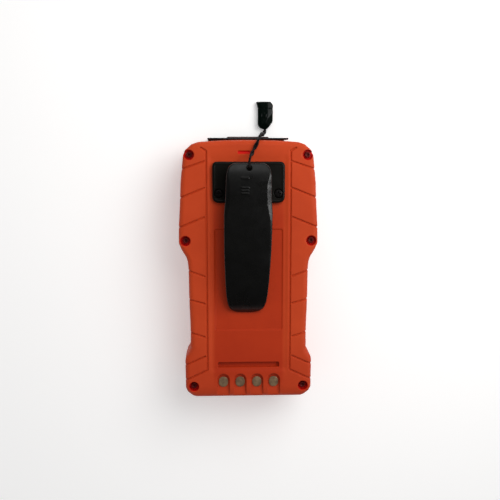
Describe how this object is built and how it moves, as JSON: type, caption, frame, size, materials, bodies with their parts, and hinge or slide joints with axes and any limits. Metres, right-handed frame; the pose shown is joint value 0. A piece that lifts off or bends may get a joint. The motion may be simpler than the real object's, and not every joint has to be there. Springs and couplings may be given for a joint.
{
  "type": "portable gas detector",
  "caption": "Hand-sized portable gas detector with an orange two-part case, front display and keys, gas inlet cover, spring belt clip, charging contacts and a lanyard loop.",
  "frame": {"origin": "centre of the case's footprint on the surface that it lies on, front face down (the cord and its connector are not counted)", "axes": "+Z out of the back, towards the belt clip; +Y towards the alarm end; +X to the right when looking at the back with the alarm end up"},
  "size_m": [0.07, 0.1524, 0.0455],
  "materials": {
    "orange_shell": "fine moulded texture, satin",
    "black_plastic": "satin black nylon",
    "black_gloss": "polished black",
    "rubber_black": "matt rubber",
    "smoked_lens": "smoked red, clear polished",
    "window": "clear, polished",
    "lcd": "grey-green display glass",
    "white_plastic": "moulded white",
    "board": "green solder mask",
    "steel": "zinc plated",
    "screw_black": "black zinc screws",
    "nickel": "dull nickel plated",
    "cell_wrap": "blue shrink wrap",
    "red_plastic": "red",
    "cord": "braided nylon"
  },
  "bodies": {
    "case": {"alarm_led_left": "red_plastic", "alarm_led_right": "red_plastic", "alarm_lens": "smoked_lens", "backlight_frame": "white_plastic", "battery_lead": "red_plastic", "battery_pack": "cell_wrap", "battery_plug": "white_plastic", "board_header": "black_plastic", "buzzer": "black_plastic", "case_screw_1": "screw_black", "case_screw_2": "screw_black", "case_screw_3": "screw_black", "case_screw_4": "screw_black", "case_screw_5": "screw_black", "case_screw_6": "screw_black", "charge_contact_1": "nickel", "charge_contact_2": "nickel", "charge_contact_3": "nickel", "charge_contact_4": "nickel", "clip_pin": "steel", "clip_plate": "black_plastic", "clip_screw_left": "screw_black", "clip_screw_right": "screw_black", "clip_spring": "steel", "contact_board": "board", "display_window": "window", "fascia": "black_plastic", "front_housing": "orange_shell", "housing_seal": "rubber_black", "key_switch_left": "steel", "key_switch_power": "steel", "key_switch_right": "steel", "keypad_seal": "rubber_black", "lanyard_connector": "black_gloss", "lanyard_cord": "cord", "lcd_panel": "lcd", "main_board": "board", "rear_housing": "orange_shell", "sensor_board": "board", "sensor_carbon_monoxide": "white_plastic", "sensor_combustible": "white_plastic", "sensor_cover": "black_plastic", "sensor_cover_screw_1": "steel", "sensor_cover_screw_2": "steel", "sensor_filter_1": "white_plastic", "sensor_filter_2": "white_plastic", "sensor_filter_3": "white_plastic", "sensor_filter_4": "white_plastic", "sensor_gasket": "rubber_black", "sensor_hydrogen_sulfide": "white_plastic", "sensor_oxygen": "white_plastic", "vibration_motor": "steel"},
    "clip_lever": {"clip_lever": "black_plastic", "lanyard_eye": "cord"},
    "key_left": {"key_left": "rubber_black"},
    "key_power": {"key_power": "red_plastic"},
    "key_right": {"key_right": "rubber_black"},
    "vibration_weight": {"vibration_weight": "nickel"}
  },
  "joints": [
    {"name": "clip_open", "type": "hinge", "parent": "case", "child": "clip_lever", "pos_m": [0, 0.042, 0.0402], "axis": [-1, 0, 0], "range_deg": [0, 16], "stiffness_Nm_per_rad": 0.33, "springref_deg": -14.32, "deforming": ["clip_spring"]},
    {"name": "key_left_press", "type": "slide", "parent": "case", "child": "key_left", "axis": [0, 0, 1], "range_m": [0, 0.0007], "stiffness_N_per_m": 600, "springref_m": -0.001},
    {"name": "key_power_press", "type": "slide", "parent": "case", "child": "key_power", "axis": [0, 0, 1], "range_m": [0, 0.0007], "stiffness_N_per_m": 600, "springref_m": -0.001},
    {"name": "key_right_press", "type": "slide", "parent": "case", "child": "key_right", "axis": [0, 0, 1], "range_m": [0, 0.0007], "stiffness_N_per_m": 600, "springref_m": -0.001},
    {"name": "weight_spin", "type": "hinge", "parent": "case", "child": "vibration_weight", "pos_m": [-0.013, -0.0113, 0.0254], "axis": [0, 1, 0], "continuous": true}
  ]
}
